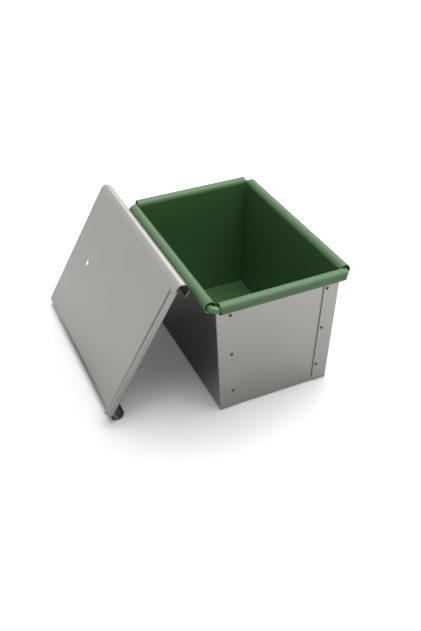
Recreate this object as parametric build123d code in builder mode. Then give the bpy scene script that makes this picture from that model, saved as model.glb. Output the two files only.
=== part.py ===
from build123d import *
from math import cos, radians, sin, sqrt, tan
import os

os.makedirs("parts", exist_ok=True)

# A lidded loaf pan folded from one cross-shaped steel blank: its corner flaps
# are riveted over the end panels and its rim is rolled round a wire. X runs
# across the pan, Y along it and Z up. The origin is the middle of the underside.
# The lid is off and leans on the pan's left rim.

# Pan: overall sizes in millimetres, leans in degrees
rim_width = 130.0
rim_length = 190.0
pan_height = 116.0
side_lean = 2.5
end_lean = 1.0

# Pan: sheet and folds
sheet = 0.9
bend_radius = 0.8
seam_gap = 0.1
corner_relief = 0.6

# Pan: rolled rim and its wire
wire_diameter = 5.8
wire_gap = 1.2
wire_drop = 0.8
wire_bend = 6.0
roll_wrap_angle = 315.0
roll_short_front = 4.8
roll_short_back = 6.6
roll_short_left = 5.4
roll_short_right = 4.0

# Pan: corner flaps
flap_width = 14.5
flap_foot = 3.5
flap_corner = 2.0
flap_root = 8.0
flap_top_gap = 0.3

# Pan: rivets of the four corner seams
seam_rivets = 3
rivet_sides = 20
rivet_to_edge = 2.6
rivet_to_top = 7.5
rivet_to_foot = 15.8
rivet_shank = 2.0
rivet_play = 0.1
rivet_head = 3.0
rivet_head_height = 0.5
rivet_head_top = 2.2
rivet_dimple = 1.4
rivet_dimple_depth = 0.4
rivet_tail = 3.2
rivet_tail_height = 0.3

# Lid: sheet, hook rails that slide on the two long rolls, lip and hole
lid_sheet = 0.7
lid_length = 187.4
hook_play = 0.4
hook_side_play = 1.8
hook_wrap_angle = 220.0
lip_reach = 3.8
lip_height = 7.0
lip_bend = 0.8
lip_curl = 2.8
lip_relief = 0.5
hole_diameter = 5.0
hole_to_end = 37.5

# Lid: how it leans on the pan
lid_lean = 59.5
lid_shift = 35.2
lean_gap = 0.3

# How far every cut runs past the faces that it opens
overrun = 2.0

# Rolled rim: its circle and where its middle runs
roll_radius = wire_diameter / 2 + wire_gap + sheet
roll_x = rim_width / 2 - roll_radius
roll_y = rim_length / 2 - roll_radius
roll_z = pan_height - roll_radius

# Layers of the end walls, counted outwards from the end panel's inside face
flap_inside = sheet + seam_gap
flap_outside = flap_inside + sheet

# The flaps end just under the curve of the end rolls
roll_dip = sqrt(roll_radius**2 - (roll_radius - flap_outside) ** 2)
flap_top = roll_z - roll_dip - flap_top_gap


def wall_x(out, height):
    """Half width of the pan at a height, at a depth outwards from a long side's inside face."""
    lean = radians(side_lean)
    return roll_x - (roll_radius - out) / cos(lean) + (height - roll_z) * tan(lean)


def wall_y(out, height):
    """Half length of the pan at a height, at a depth outwards from an end panel's inside face."""
    lean = radians(end_lean)
    return roll_y - (roll_radius - out) / cos(lean) + (height - roll_z) * tan(lean)


bend_z = sheet + bend_radius
bend_x = wall_x(-bend_radius, bend_z)
bend_y = wall_y(-bend_radius, bend_z)


def folded_strip(plane, roll, bend, lean):
    """Section of a folded strip of the blank: roll, wall, bend, floor, bend, wall and roll."""
    wrap_start = 180 - lean - roll_wrap_angle
    with BuildSketch(plane) as strip:
        with BuildLine():
            skin = CenterArc((roll, roll_z), roll_radius, wrap_start, roll_wrap_angle)
            core = CenterArc((roll, roll_z), roll_radius - sheet, wrap_start, roll_wrap_angle)
            inside = CenterArc((bend, bend_z), bend_radius, -90, 90 - lean)
            outside = CenterArc((bend, bend_z), bend_radius + sheet, -90, 90 - lean)
            Line(skin @ 0, core @ 0)
            Line(skin @ 1, inside @ 1)
            Line(core @ 1, outside @ 1)
            Line(inside @ 0, (0, sheet))
            Line(outside @ 0, (0, 0))
            mirror(about=Plane.YZ)
        make_face()
    return strip.sketch


# Crosswise strip of the blank: the long sides and their rolls, joined by the floor
strip_end = wall_y(flap_outside, flap_foot) - bend_radius - sheet - bend_radius
foot_end = wall_y(sheet, flap_foot)
side_front = -roll_y + roll_short_front
side_back = roll_y - roll_short_back
above = pan_height + overrun

with BuildPart() as crosswise_strip:
    extrude(folded_strip(Plane.XZ, roll_x, bend_x, side_lean), amount=rim_length, both=True)
    # The walls end at the flaps' bends, and the rolls end further out
    with BuildSketch(Plane.YZ):
        with BuildLine():
            Polyline(
                (foot_end, 0),
                (foot_end, flap_foot),
                (strip_end, flap_foot),
                (strip_end, flap_top),
                (side_back, flap_top),
                (side_back, above),
                (side_front, above),
                (side_front, flap_top),
                (-strip_end, flap_top),
                (-strip_end, flap_foot),
                (-foot_end, flap_foot),
                (-foot_end, 0),
                close=True,
            )
        make_face()
    extrude(amount=rim_width, both=True, mode=Mode.INTERSECT)
    # The floor ends where the end panels' bends start
    with BuildSketch(Plane.XY):
        with Locations((0, bend_y)):
            Rectangle(2 * bend_x, rim_length, align=(Align.CENTER, Align.MIN))
        mirror(about=Plane.XZ)
    extrude(amount=flap_foot, both=True, mode=Mode.SUBTRACT)

# Lengthwise strip of the blank: the end panels and their rolls, joined by the floor
end_left = -roll_x + roll_short_left
end_right = roll_x - roll_short_right
panel_foot = bend_z + corner_relief
foot_half = bend_x - corner_relief

with BuildPart() as lengthwise_strip:
    extrude(folded_strip(Plane.YZ, roll_y, bend_y, end_lean), amount=rim_width, both=True)
    # The panels fit between the long sides, and their rolls run on towards the corners
    with BuildSketch(Plane.XZ):
        with BuildLine():
            Polyline(
                (foot_half, 0),
                (foot_half, sheet),
                (wall_x(-seam_gap, panel_foot), panel_foot),
                (wall_x(-seam_gap, flap_top), flap_top),
                (end_right, flap_top),
                (end_right, above),
                (end_left, above),
                (end_left, flap_top),
                (-wall_x(-seam_gap, flap_top), flap_top),
                (-wall_x(-seam_gap, panel_foot), panel_foot),
                (-foot_half, sheet),
                (-foot_half, 0),
                close=True,
            )
        make_face()
    extrude(amount=rim_length, both=True, mode=Mode.INTERSECT)

# Corner flaps: each long side turns the corner and laps over the end panel
corner_rise = (tan(radians(side_lean)), tan(radians(end_lean)), 1)
corner_slope = sqrt(corner_rise[0] ** 2 + corner_rise[1] ** 2 + 1)
corner_x = wall_x(sheet, flap_foot)
corner_y = wall_y(flap_outside, flap_foot)
inner_x = wall_x(0, flap_foot)
inner_y = wall_y(flap_inside, flap_foot)

with BuildPart() as corner_flaps:
    with BuildSketch(Plane.XY.offset(flap_foot)):
        with BuildLine():
            Polyline(
                (corner_x, corner_y - flap_root),
                (corner_x, corner_y),
                (corner_x - flap_width, corner_y),
                (corner_x - flap_width, inner_y),
                (inner_x, inner_y),
                (inner_x, corner_y - flap_root),
                close=True,
            )
        flap_section = make_face()
        outer_bend = flap_section.vertices().sort_by_distance((corner_x, corner_y))[0]
        fillet(outer_bend, bend_radius + sheet)
        inner_bend = flap_section.vertices().sort_by_distance((inner_x, inner_y))[0]
        fillet(inner_bend, bend_radius)
    extrude(amount=(flap_top - flap_foot) * corner_slope, dir=corner_rise)
    foot_corner = corner_flaps.edges().filter_by(Axis.Y).group_by(Axis.X)[0].sort_by(Axis.Z)[0]
    fillet(foot_corner, flap_corner)
    mirror(about=Plane.XZ)
    mirror(about=Plane.YZ)

# Rivet heights, evenly spaced along a flap, and the rivets' planes on the four flaps
rivet_pitch = (flap_top - rivet_to_top - rivet_to_foot - flap_foot) / max(seam_rivets - 1, 1)
rivet_heights = [flap_top - rivet_to_top - rivet_pitch * row for row in range(seam_rivets)]


def rivet_plane(side, end, height):
    """Plane on a flap's outside face, at a rivet, with its normal pointing out of the pan."""
    lean = radians(end_lean)
    along_x = wall_x(sheet, height) - flap_width + rivet_to_edge
    spot = (side * along_x, end * wall_y(flap_outside, height), height)
    return Plane(origin=spot, x_dir=(end, 0, 0), z_dir=(0, end * cos(lean), -sin(lean)))


seam_rows = [
    (name, rivet_plane(side, end, height), row)
    for name, side, end in (
        ("front_left", -1, -1),
        ("front_right", 1, -1),
        ("back_left", -1, 1),
        ("back_right", 1, 1),
    )
    for row, height in enumerate(rivet_heights, start=1)
]

# Body sheet: the folded blank, with its rivet holes. What is round on a rivet and
# its hole is drawn many-sided, which keeps so small a piece light.
with BuildPart() as body_sheet:
    add(crosswise_strip.part)
    add(lengthwise_strip.part)
    add(corner_flaps.part)
    for name, plane, row in seam_rows:
        with BuildSketch(plane):
            RegularPolygon(rivet_shank / 2 + rivet_play, rivet_sides)
        extrude(amount=-flap_outside - overrun, mode=Mode.SUBTRACT)
body_sheet.part.label = "body_sheet"
export_step(body_sheet.part, "parts/body_sheet.step")

# Rim wire: one closed loop that lies low in the rolls and shows at the four corners
with BuildSketch(Plane.XY.offset(roll_z - wire_drop)) as wire_outline:
    RectangleRounded(2 * roll_x, 2 * roll_y, wire_bend)
wire_loop = wire_outline.sketch.face().outer_wire()

with BuildPart() as rim_wire:
    with BuildSketch(Plane(origin=wire_loop @ 0, z_dir=wire_loop % 0)):
        Circle(wire_diameter / 2)
    sweep(path=wire_loop)
rim_wire.part.label = "rim_wire"
export_step(rim_wire.part, "parts/rim_wire.step")

# Rivets: flat tail inside the pan, shank through both layers, dimpled head outside
for name, plane, row in seam_rows:
    with BuildPart() as rivet:
        with BuildSketch(plane):
            RegularPolygon(rivet_head / 2, rivet_sides)
        with BuildSketch(plane.offset(rivet_head_height)):
            RegularPolygon(rivet_head_top / 2, rivet_sides)
        loft(ruled=True)
        with BuildSketch(plane.offset(rivet_head_height)):
            RegularPolygon(rivet_dimple / 2, rivet_sides)
        extrude(amount=-rivet_dimple_depth, mode=Mode.SUBTRACT)
        with BuildSketch(plane):
            RegularPolygon(rivet_shank / 2, rivet_sides)
        extrude(amount=-flap_outside)
        with BuildSketch(plane.offset(-flap_outside)):
            RegularPolygon(rivet_tail / 2, rivet_sides)
        extrude(amount=-rivet_tail_height)
    rivet.part.label = f"{name}_rivet_{row}"
    export_step(rivet.part, f"parts/{rivet.part.label}.step")

# Lid: a flat sheet with a hook rail along each long edge and a curled lip at
# its front end. Its own plane has X up the slope, Y along the rails and Z out
# of the top face.
hook_radius = roll_radius + hook_play + lid_sheet
hook_x = roll_x + hook_side_play
rail_rise = 2 * hook_x * sin(radians(lid_lean))
rail_run = 2 * hook_x * cos(radians(lid_lean))

# The lower rail stands on the table and the upper one leans on the pan: on the
# roll, on the wall if it ends below the roll, and if it ends above the roll,
# the flat sheet leans on the roll instead
roll_to_hook = roll_radius + lean_gap + hook_radius
over_roll = hook_radius + rail_rise - roll_z
upper_rail_x = wall_x(sheet, hook_radius + rail_rise) + (lean_gap + hook_radius) / cos(radians(side_lean))
if over_roll > roll_to_hook:
    sheet_drop = over_roll * cos(radians(lid_lean)) + hook_play - lean_gap
    upper_rail_x = roll_x - sheet_drop / sin(radians(lid_lean))
elif over_roll > -roll_to_hook:
    upper_rail_x = max(upper_rail_x, roll_x + sqrt(roll_to_hook**2 - over_roll**2))

lid_slope = Plane(
    origin=(-upper_rail_x - rail_run / 2, lid_shift, hook_radius + rail_rise / 2),
    x_dir=(cos(radians(lid_lean)), 0, sin(radians(lid_lean))),
    z_dir=(-sin(radians(lid_lean)), 0, cos(radians(lid_lean))),
)
lid_section = Plane(origin=lid_slope.origin, x_dir=lid_slope.x_dir, z_dir=-lid_slope.y_dir)
lid_profile = Plane(origin=lid_slope.origin, x_dir=lid_slope.y_dir, z_dir=lid_slope.x_dir)
underside = hook_radius - lid_sheet
rail_front = -lid_length / 2
lip_face = rail_front - lip_reach

with BuildPart() as lid:
    with BuildSketch(lid_section):
        with BuildLine():
            crown = CenterArc((hook_x, 0), hook_radius, 90 - hook_wrap_angle, hook_wrap_angle)
            lining = CenterArc((hook_x, 0), underside, 90 - hook_wrap_angle, hook_wrap_angle)
            Line(crown @ 0, lining @ 0)
            Line(crown @ 1, (0, hook_radius))
            Line(lining @ 1, (0, underside))
            mirror(about=Plane.YZ)
        make_face()
    extrude(amount=lid_length / 2, both=True)
    # Lip: the sheet runs on between the rails, stands up and curls back
    with BuildSketch(lid_profile):
        with BuildLine():
            foot = (lip_face + lid_sheet + lip_bend, hook_radius + lip_bend)
            head = (lip_face + lip_curl, hook_radius + lip_height - lip_curl)
            foot_inside = CenterArc(foot, lip_bend, 180, 90)
            foot_outside = CenterArc(foot, lip_bend + lid_sheet, 180, 90)
            curl_inside = CenterArc(head, lip_curl - lid_sheet, 0, 180)
            curl_outside = CenterArc(head, lip_curl, 0, 180)
            Line(foot_inside @ 0, curl_inside @ 1)
            Line(foot_outside @ 0, curl_outside @ 1)
            Line(curl_inside @ 0, curl_outside @ 0)
            Polyline(foot_inside @ 1, (rail_front, hook_radius), (rail_front, underside), foot_outside @ 1)
        make_face()
    extrude(amount=hook_x - lip_relief, both=True)
    with BuildSketch(lid_slope.offset(hook_radius)):
        with Locations((0, lid_length / 2 - hole_to_end)):
            Circle(hole_diameter / 2)
    extrude(amount=-lid_sheet, both=True, mode=Mode.SUBTRACT)
lid.part.label = "lid"
export_step(lid.part, "parts/lid.step")
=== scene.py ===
from math import cos, radians, sin, tan

import bpy
from mathutils import Matrix, Vector


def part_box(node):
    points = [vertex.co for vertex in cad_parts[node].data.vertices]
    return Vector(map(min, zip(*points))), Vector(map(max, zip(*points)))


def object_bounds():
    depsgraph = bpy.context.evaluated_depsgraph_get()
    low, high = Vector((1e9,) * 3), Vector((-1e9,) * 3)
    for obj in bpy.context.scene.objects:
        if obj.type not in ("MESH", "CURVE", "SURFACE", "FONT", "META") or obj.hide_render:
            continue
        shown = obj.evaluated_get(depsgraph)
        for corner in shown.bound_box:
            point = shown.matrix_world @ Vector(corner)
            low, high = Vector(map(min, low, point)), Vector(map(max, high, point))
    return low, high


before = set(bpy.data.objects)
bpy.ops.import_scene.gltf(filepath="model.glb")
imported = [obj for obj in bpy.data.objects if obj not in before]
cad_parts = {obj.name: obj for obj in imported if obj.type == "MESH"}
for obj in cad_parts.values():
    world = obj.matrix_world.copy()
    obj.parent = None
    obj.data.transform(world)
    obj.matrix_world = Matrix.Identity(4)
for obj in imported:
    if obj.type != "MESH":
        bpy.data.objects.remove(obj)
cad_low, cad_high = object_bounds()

# Loaf pan of folded steel: bare outside, green non-stick coat inside and over the
# rolled rim, with its bare lid leaning on the left rim. Lengths are in metres.

# Camera: solved from the pan's lines, for a frame of this height in pixels
PHOTO_HEIGHT = 631
FOCAL_PIXELS = 780
CAMERA_SPOT = (-0.2534, -0.5228, 0.4597)
CAMERA_AZIMUTH = -23.89
CAMERA_DOWN = 36.66
CAMERA_ROLL = -0.88
SENSOR_WIDTH = 36.0

# Pan: what the frame's boxes don't give, how far below a roll's middle its ends are
# sprayed, as a share of its radius, and how deep, in sheets
SHEET = 0.0009
SIDE_LEAN = 2.5
END_LEAN = 1.0
LID_LEAN = 59.5
SPRAYED_SHARE = 0.45
SPRAYED_SHEETS = 1.5
WIRE_DROP = 0.0008

# Finishes: colours, roughness, relief in metres, and how fine each pattern is
STEEL_DARK = (0.352, 0.346, 0.328)
STEEL_LIGHT = (0.444, 0.437, 0.414)
STEEL_ROUGHNESS = 0.36
STEEL_SPREAD = 0.16
STEEL_RELIEF = 0.00001
GRAIN_SCALE = 2200.0
GRAIN_STRETCH = (1.0, 0.03, 1.0)
CLOUD_SCALE = 28.0
CLOUD_SHARE = 0.45
COAT_DARK = (0.044, 0.124, 0.039)
COAT_LIGHT = (0.057, 0.151, 0.050)
# Painted highlight: the wire's coat is the pan's coat, made lighter where its rounded bend catches light
WIRE_PAINTED_HIGHLIGHT_DARK = (0.086, 0.226, 0.077)
WIRE_PAINTED_HIGHLIGHT_LIGHT = (0.106, 0.268, 0.095)
COAT_GLOSS = 0.78
COAT_ROUGHNESS = 0.48
COAT_SPREAD = 0.1
COAT_RELIEF = 0.00002
PEBBLE_SCALE = 900.0
DRIFT_SCALE = 22.0
DRIFT_SHARE = 0.6
# Painted shade: the rivets' bare heads are made near black for the shade in their dimples
RIVET_PAINTED_SHADE_DARK = (0.070, 0.070, 0.066)
RIVET_PAINTED_SHADE_LIGHT = (0.140, 0.138, 0.130)

# Studio floor: its grey to all but the camera, its glow near the object, where it turns
# white, and a painted shade, a darker grey patch behind the leaning lid
WHITE = (1.0, 1.0, 1.0, 1.0)
FLOOR_GREY = (0.72, 0.72, 0.72)
FLOOR_GAP = 0.0001
FLOOR_HALF = 3.0
FLOOR_ROUGHNESS = 0.9
FLOOR_GLOW = 0.045
MIRRORED_GLOW = 0.40
SHADOW_MIDDLE = (-0.06, 0.0, 0.0)
SHADOW_REACH = 0.10
WHITE_REACH = 0.34
PAINTED_SHADE_GREY = (0.25, 0.25, 0.25)
PAINTED_SHADE_MIDDLE = (-0.085, 0.03, 0.0)
PAINTED_SHADE_CORE = 0.055
PAINTED_SHADE_EDGE = 0.105

# Studio light: the world with its dim side, and two lamps
WORLD_LIGHT = 0.30
DIM_SIDE = (-0.86, -0.45, 0.25)
DIM_EDGE = 0.60
DIM_CORE = 0.90
DIM_LIGHT = 0.30
LAMP_SPOT = (0.18, -0.08, 1.12)
LAMP_SIZE = (1.0, 1.0)
LAMP_POWER = 11.3
STRIP_SPOT = (0.53, 0.76, 0.67)
STRIP_SIZE = (0.75, 0.75)
STRIP_POWER = 2.2

pan_low, pan_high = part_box("body_sheet")
wire_low, wire_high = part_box("rim_wire")
ROLL_RADIUS = pan_high.z - (wire_high.z + wire_low.z) / 2 - WIRE_DROP
ROLL_X = pan_high.x - ROLL_RADIUS
ROLL_Y = pan_high.y - ROLL_RADIUS
ROLL_Z = pan_high.z - ROLL_RADIUS


# Node trees
def add_node(tree, kind, settings=None, **inputs):
    """A node with its settings, and its inputs set to values or linked to sockets."""
    node = tree.nodes.new(kind)
    for name, value in (settings or {}).items():
        setattr(node, name, value)
    for name, value in inputs.items():
        socket = node.inputs[int(name[1:])] if name[1:].isdigit() else node.inputs[name.replace("_", " ")]
        if isinstance(value, bpy.types.NodeSocket):
            tree.links.new(value, socket)
        else:
            socket.default_value = value
    return node


def calculate(tree, operation, first, second=0.0, third=0.0):
    """Result socket of a Math node."""
    node = add_node(tree, "ShaderNodeMath", {"operation": operation}, _0=first, _1=second, _2=third)
    return node.outputs[0]


def noise(tree, place, scale, detail, roughness):
    """Value socket of a Noise node."""
    settings = {"Scale": scale, "Detail": detail, "Roughness": roughness}
    return add_node(tree, "ShaderNodeTexNoise", None, Vector=place, **settings).outputs[0]


def smooth_rise(tree, value, start, end, low, high):
    """Value that goes smoothly from low at the start to high at the end."""
    smooth = {"interpolation_type": "SMOOTHSTEP"}
    node = add_node(tree, "ShaderNodeMapRange", smooth, Value=value, _1=start, _2=end, _3=low, _4=high)
    return node.outputs[0]


def spread_about(tree, middle, tone, spread):
    """Value that runs about a middle, over a spread, as the tone runs from 0 to 1."""
    raised = calculate(tree, "MULTIPLY_ADD", tone, spread, middle)
    return calculate(tree, "SUBTRACT", raised, spread / 2)


def mix_colour(tree, factor, low, high):
    """Result socket of a colour Mix node."""
    node = tree.nodes.new("ShaderNodeMix")
    node.data_type = "RGBA"
    for index, value in ((0, factor), (6, low), (7, high)):
        if isinstance(value, bpy.types.NodeSocket):
            tree.links.new(value, node.inputs[index])
        elif index == 0:
            node.inputs[index].default_value = value
        else:
            node.inputs[index].default_value = (*value, 1.0)[:4]
    return node.outputs[2]


def mix_value(tree, factor, low, high):
    """Result socket of a value Mix node."""
    node = tree.nodes.new("ShaderNodeMix")
    for index, value in ((0, factor), (2, low), (3, high)):
        if isinstance(value, bpy.types.NodeSocket):
            tree.links.new(value, node.inputs[index])
        else:
            node.inputs[index].default_value = value
    return node.outputs[0]


def new_group(name, inputs, outputs):
    """Empty shader node group with named inputs, their defaults, and outputs."""
    tree = bpy.data.node_groups.new(name, "ShaderNodeTree")
    for label, kind, value in inputs:
        socket = tree.interface.new_socket(label, in_out="INPUT", socket_type=kind)
        socket.default_value = value
    for label, kind in outputs:
        tree.interface.new_socket(label, in_out="OUTPUT", socket_type=kind)
    return tree, tree.nodes.new("NodeGroupInput").outputs, tree.nodes.new("NodeGroupOutput").inputs


def coated_side_group():
    """Mask of what the coat covers: the inside faces of the walls and floor, and the rolls' outside.

    A wall's middle plane leans through the roll's inner side, so a point is inside
    where it lies nearer the pan's middle than that plane. The rolls are coated where
    the distance from their middle line is more than that of the sheet's middle, and
    above their lower side their cut ends and lining are coated too.
    """
    tree, given, result = new_group(
        "Coated Side",
        [("Sheet", "NodeSocketFloat", SHEET)],
        [("Coated", "NodeSocketFloat")],
    )
    place = add_node(tree, "ShaderNodeTexCoord").outputs["Object"]
    split = add_node(tree, "ShaderNodeSeparateXYZ", None, Vector=place).outputs
    half_sheet = calculate(tree, "MULTIPLY", given["Sheet"], 0.5)
    rise = calculate(tree, "SUBTRACT", split["Z"], ROLL_Z)
    inside = calculate(tree, "GREATER_THAN", split["Z"], half_sheet)
    above = calculate(tree, "GREATER_THAN", rise, -SPRAYED_SHARE * ROLL_RADIUS)
    lining = calculate(tree, "MULTIPLY", given["Sheet"], SPRAYED_SHEETS)
    depth = calculate(tree, "MULTIPLY_ADD", above, lining, half_sheet)
    rolled = 0.0
    for axis, roll, lean in (("X", ROLL_X, SIDE_LEAN), ("Y", ROLL_Y, END_LEAN)):
        out = calculate(tree, "ABSOLUTE", split[axis])
        at_roll = roll - ROLL_RADIUS / cos(radians(lean))
        wall = calculate(tree, "MULTIPLY_ADD", rise, tan(radians(lean)), at_roll)
        middle = calculate(tree, "ADD", wall, half_sheet)
        inside = calculate(tree, "MULTIPLY", inside, calculate(tree, "LESS_THAN", out, middle))
        across = calculate(tree, "SUBTRACT", out, roll)
        squares = [calculate(tree, "POWER", side, 2.0) for side in (across, rise)]
        square = calculate(tree, "ADD", *squares)
        reach = calculate(tree, "SUBTRACT", calculate(tree, "SQRT", square), ROLL_RADIUS)
        near = calculate(tree, "LESS_THAN", calculate(tree, "ABSOLUTE", reach), depth)
        rolled = calculate(tree, "MAXIMUM", rolled, near)
    tree.links.new(calculate(tree, "MAXIMUM", inside, rolled), result["Coated"])
    return tree


def rolled_steel_group():
    """Satin rolled sheet: long fine grain along Y, on a sheet that leans, and soft clouds."""
    tree, given, result = new_group(
        "Rolled Steel",
        [
            ("Lean", "NodeSocketFloat", 0.0),
            ("Dark", "NodeSocketColor", (*STEEL_DARK, 1)),
            ("Light", "NodeSocketColor", (*STEEL_LIGHT, 1)),
            ("Roughness", "NodeSocketFloat", STEEL_ROUGHNESS),
        ],
        [("Colour", "NodeSocketColor"), ("Roughness", "NodeSocketFloat"), ("Height", "NodeSocketFloat")],
    )
    place = add_node(tree, "ShaderNodeTexCoord").outputs["Object"]
    turned = add_node(tree, "ShaderNodeVectorRotate", {"rotation_type": "Y_AXIS"}, Vector=place)
    tree.links.new(given["Lean"], turned.inputs["Angle"])
    stretched = add_node(tree, "ShaderNodeMapping", None, Vector=turned.outputs[0], Scale=GRAIN_STRETCH)
    grain = noise(tree, stretched.outputs[0], GRAIN_SCALE, detail=4.0, roughness=0.6)
    clouds = noise(tree, place, CLOUD_SCALE, detail=3.0, roughness=0.55)
    tone = mix_value(tree, CLOUD_SHARE, grain, clouds)
    tree.links.new(mix_colour(tree, tone, given["Dark"], given["Light"]), result["Colour"])
    tree.links.new(spread_about(tree, given["Roughness"], tone, STEEL_SPREAD), result["Roughness"])
    tree.links.new(grain, result["Height"])
    return tree


def coat_group():
    """Green non-stick coat: a fine even pebble with a slow drift of tone."""
    tree, given, result = new_group(
        "Non Stick Coat",
        [
            ("Dark", "NodeSocketColor", (*COAT_DARK, 1)),
            ("Light", "NodeSocketColor", (*COAT_LIGHT, 1)),
            ("Roughness", "NodeSocketFloat", COAT_ROUGHNESS),
        ],
        [("Colour", "NodeSocketColor"), ("Roughness", "NodeSocketFloat"), ("Height", "NodeSocketFloat")],
    )
    place = add_node(tree, "ShaderNodeTexCoord").outputs["Object"]
    pebble = noise(tree, place, PEBBLE_SCALE, detail=2.0, roughness=0.5)
    drift = noise(tree, place, DRIFT_SCALE, detail=2.0, roughness=0.5)
    tone = mix_value(tree, DRIFT_SHARE, pebble, drift)
    tree.links.new(mix_colour(tree, tone, given["Dark"], given["Light"]), result["Colour"])
    tree.links.new(spread_about(tree, given["Roughness"], pebble, COAT_SPREAD), result["Roughness"])
    tree.links.new(pebble, result["Height"])
    return tree


COATED_SIDE = coated_side_group()
ROLLED_STEEL = rolled_steel_group()
COAT = coat_group()


def new_material(name):
    """Material with its tree and its Principled shader."""
    material = bpy.data.materials.new(name)
    material.use_nodes = True
    return material, material.node_tree, material.node_tree.nodes["Principled BSDF"]


def place_group(tree, group, **inputs):
    """Outputs of a group placed in a material."""
    node = tree.nodes.new("ShaderNodeGroup")
    node.node_tree = group
    for name, value in inputs.items():
        node.inputs[name].default_value = value
    return node.outputs


def relief(tree, shader, height, depth):
    """Bump of a depth in metres from a height that runs from 0 to 1."""
    bump = add_node(tree, "ShaderNodeBump", None, Height=height, Distance=depth, Strength=1.0)
    tree.links.new(bump.outputs[0], shader.inputs["Normal"])


def bare_steel(name, lean=0.0):
    """Bare satin steel sheet, its grain along Y on a sheet that leans by an angle."""
    material, tree, shader = new_material(name)
    steel = place_group(tree, ROLLED_STEEL, Lean=radians(lean))
    tree.links.new(steel["Colour"], shader.inputs["Base Color"])
    tree.links.new(steel["Roughness"], shader.inputs["Roughness"])
    shader.inputs["Metallic"].default_value = 1.0
    relief(tree, shader, steel["Height"], STEEL_RELIEF)
    return material


def half_coated(name, dark, light):
    """Bare metal outside and coat inside, parted by the pan's own faces."""
    material, tree, shader = new_material(name)
    steel = place_group(tree, ROLLED_STEEL, Dark=(*dark, 1), Light=(*light, 1))
    coat = place_group(tree, COAT)
    coated = place_group(tree, COATED_SIDE)["Coated"]
    tree.links.new(mix_colour(tree, coated, steel["Colour"], coat["Colour"]), shader.inputs["Base Color"])
    roughness = mix_value(tree, coated, steel["Roughness"], coat["Roughness"])
    tree.links.new(roughness, shader.inputs["Roughness"])
    tree.links.new(calculate(tree, "SUBTRACT", 1.0, coated), shader.inputs["Metallic"])
    shader.inputs["Specular IOR Level"].default_value = COAT_GLOSS
    relief(tree, shader, mix_value(tree, coated, steel["Height"], coat["Height"]), COAT_RELIEF)
    return material


def coated_wire(name):
    """The rim's wire under the pan's own coat, its colours made lighter as a painted highlight where the
    rounded wire catches light.
    """
    material, tree, shader = new_material(name)
    coat = place_group(tree, COAT, Dark=(*WIRE_PAINTED_HIGHLIGHT_DARK, 1), Light=(*WIRE_PAINTED_HIGHLIGHT_LIGHT, 1))
    tree.links.new(coat["Colour"], shader.inputs["Base Color"])
    tree.links.new(coat["Roughness"], shader.inputs["Roughness"])
    shader.inputs["Specular IOR Level"].default_value = COAT_GLOSS
    relief(tree, shader, coat["Height"], COAT_RELIEF)
    return material


def dress(node, material):
    """Gives a CAD node its material."""
    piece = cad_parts[node]
    piece.data.materials.clear()
    piece.data.materials.append(material)


dress("body_sheet", half_coated("coated_sheet", STEEL_DARK, STEEL_LIGHT))
dress("rim_wire", coated_wire("coated_wire"))
dress("lid", bare_steel("lid_steel", LID_LEAN))
# Painted shade: bare rivet heads near black for the shade in their dimples, coat inside as on the pan
rivet_painted_shade = half_coated("rivet_painted_shade", RIVET_PAINTED_SHADE_DARK, RIVET_PAINTED_SHADE_LIGHT)
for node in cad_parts:
    if "_rivet_" in node:
        dress(node, rivet_painted_shade)


# Floor and world: white to the camera and in reflections, with the object's shadow
def looked_at(tree):
    """1 for what the camera sees directly, in a reflection or through glass."""
    seen = add_node(tree, "ShaderNodeLightPath").outputs
    mirrored = calculate(tree, "MAXIMUM", seen["Is Glossy Ray"], seen["Is Transmission Ray"])
    return calculate(tree, "MAXIMUM", seen["Is Camera Ray"], mirrored)


def ring_mask(tree, middle, near, far, low):
    """A low value up to one distance from a middle, rising smoothly to 1 at another distance."""
    place = add_node(tree, "ShaderNodeTexCoord").outputs["Object"]
    reach = add_node(tree, "ShaderNodeVectorMath", {"operation": "DISTANCE"}, _0=place, _1=middle)
    return smooth_rise(tree, reach.outputs["Value"], near, far, low, 1.0)


def white_floor():
    """Wide plane under the pan. Near the object it keeps the shadow, and further out it turns white.

    Behind the leaning lid it carries a painted shade, a darker grey patch, to all but the camera.
    """
    material, tree, shader = new_material("white_floor")
    shader.inputs["Roughness"].default_value = FLOOR_ROUGHNESS
    shader.inputs["Specular IOR Level"].default_value = 0.0
    shader.inputs["Emission Color"].default_value = WHITE
    seen = add_node(tree, "ShaderNodeLightPath").outputs
    watched = looked_at(tree)
    # Painted shade: darker grey patch behind the lid, seen in reflections and bounced light
    shade = ring_mask(tree, PAINTED_SHADE_MIDDLE, PAINTED_SHADE_CORE, PAINTED_SHADE_EDGE, 0.0)
    grey = mix_colour(tree, shade, PAINTED_SHADE_GREY, FLOOR_GREY)
    tree.links.new(mix_colour(tree, seen["Is Camera Ray"], grey, WHITE), shader.inputs["Base Color"])
    ring = ring_mask(tree, SHADOW_MIDDLE, SHADOW_REACH, WHITE_REACH, FLOOR_GLOW)
    share = mix_value(tree, seen["Is Glossy Ray"], watched, MIRRORED_GLOW)
    tree.links.new(calculate(tree, "MULTIPLY", share, ring), shader.inputs["Emission Strength"])
    mesh = bpy.data.meshes.new("floor")
    sides = ((-1, -1), (1, -1), (1, 1), (-1, 1))
    corners = [(x * FLOOR_HALF, y * FLOOR_HALF, -FLOOR_GAP) for x, y in sides]
    mesh.from_pydata(corners, [], [(0, 1, 2, 3)])
    floor = bpy.data.objects.new("floor", mesh)
    bpy.context.scene.collection.objects.link(floor)
    mesh.materials.append(material)


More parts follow.
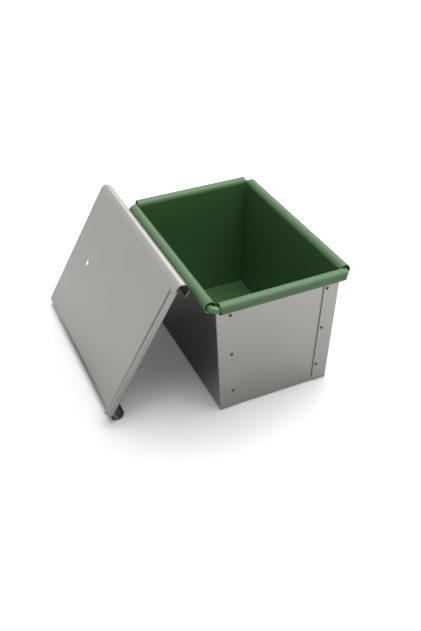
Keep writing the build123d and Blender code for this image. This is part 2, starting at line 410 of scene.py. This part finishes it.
def plain_world():
    """Even pale light, seen as white, with one dim side of the studio in reflections."""
    world = bpy.data.worlds.new("studio")
    bpy.context.scene.world = world
    world.use_nodes = True
    tree = world.node_tree
    backdrop = tree.nodes["Background"]
    backdrop.inputs["Color"].default_value = WHITE
    toward = add_node(tree, "ShaderNodeTexCoord").outputs["Generated"]
    dim_way = Vector(DIM_SIDE).normalized()
    facing = add_node(tree, "ShaderNodeVectorMath", {"operation": "DOT_PRODUCT"}, _0=toward, _1=dim_way)
    dim = smooth_rise(tree, facing.outputs["Value"], DIM_EDGE, DIM_CORE, 1.0, DIM_LIGHT)
    seen = add_node(tree, "ShaderNodeLightPath").outputs
    mirrored = mix_value(tree, seen["Is Glossy Ray"], 1.0, dim)
    tree.links.new(mix_value(tree, looked_at(tree), WORLD_LIGHT, mirrored), backdrop.inputs["Strength"])


def soft_light(name, spot, aim, size, power):
    """Rectangular studio lamp at a spot, turned to an aim, out of the camera's sight."""
    lamp = bpy.data.lights.new(name, "AREA")
    lamp.shape = "RECTANGLE"
    lamp.size, lamp.size_y = size
    lamp.energy = power
    holder = bpy.data.objects.new(name, lamp)
    holder.visible_camera = False
    holder.location = spot
    holder.rotation_mode = "QUATERNION"
    holder.rotation_quaternion = (Vector(aim) - Vector(spot)).to_track_quat("-Z", "Y")
    bpy.context.scene.collection.objects.link(holder)


def photo_camera():
    """Camera at the photograph's place, direction, roll and focal length."""
    around, down, roll = radians(CAMERA_AZIMUTH), radians(CAMERA_DOWN), radians(CAMERA_ROLL)
    ahead = Vector((-sin(around) * cos(down), cos(around) * cos(down), -sin(down)))
    level = ahead.cross(Vector((0, 0, 1))).normalized()
    upright = level.cross(ahead)
    right = level * cos(roll) + upright * sin(roll)
    top = upright * cos(roll) - level * sin(roll)
    lens = bpy.data.cameras.new("photo_camera")
    lens.sensor_width = SENSOR_WIDTH
    lens.lens = lens.sensor_width * FOCAL_PIXELS / PHOTO_HEIGHT
    camera = bpy.data.objects.new("photo_camera", lens)
    turn = Matrix((right, top, -ahead)).transposed().to_4x4()
    camera.matrix_world = Matrix.Translation(Vector(CAMERA_SPOT)) @ turn
    bpy.context.scene.collection.objects.link(camera)
    bpy.context.scene.camera = camera


white_floor()
plain_world()
middle = (cad_low + cad_high) / 2
soft_light("top_lamp", LAMP_SPOT, middle, LAMP_SIZE, LAMP_POWER)
soft_light("strip_lamp", STRIP_SPOT, middle, STRIP_SIZE, STRIP_POWER)
photo_camera()
bpy.context.scene.view_settings.view_transform = "Standard"
